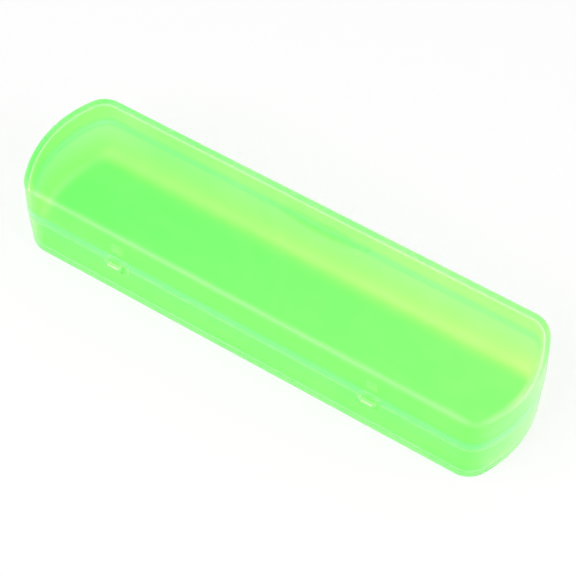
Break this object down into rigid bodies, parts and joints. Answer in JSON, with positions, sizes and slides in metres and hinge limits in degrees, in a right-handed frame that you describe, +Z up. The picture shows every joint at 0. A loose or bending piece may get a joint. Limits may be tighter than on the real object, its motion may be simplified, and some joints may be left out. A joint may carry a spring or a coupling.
{
  "type": "toothbrush case",
  "caption": "Translucent moulded travel toothbrush case with bowed ends: a tray, and a lid that turns on clip-on hinges and snaps shut at a thumb tab.",
  "frame": {"origin": "middle of the underside, which is the face that the case stands on", "axes": "+X along the case, -Y towards the hinge side and +Y towards the thumb tab, +Z up"},
  "size_m": [0.2, 0.0568, 0.036],
  "materials": {
    "tray_plastic": "translucent, polished, milky where the rims overlap",
    "lid_plastic": "translucent, polished"
  },
  "bodies": {
    "tray": {"base_tray": "tray_plastic"},
    "lid": {"lid": "lid_plastic"}
  },
  "joints": [
    {"name": "lid_hinge", "type": "hinge", "parent": "tray", "child": "lid", "pos_m": [0, -0.0262, 0.02], "axis": [1, 0, 0], "range_deg": [0, 184]}
  ]
}
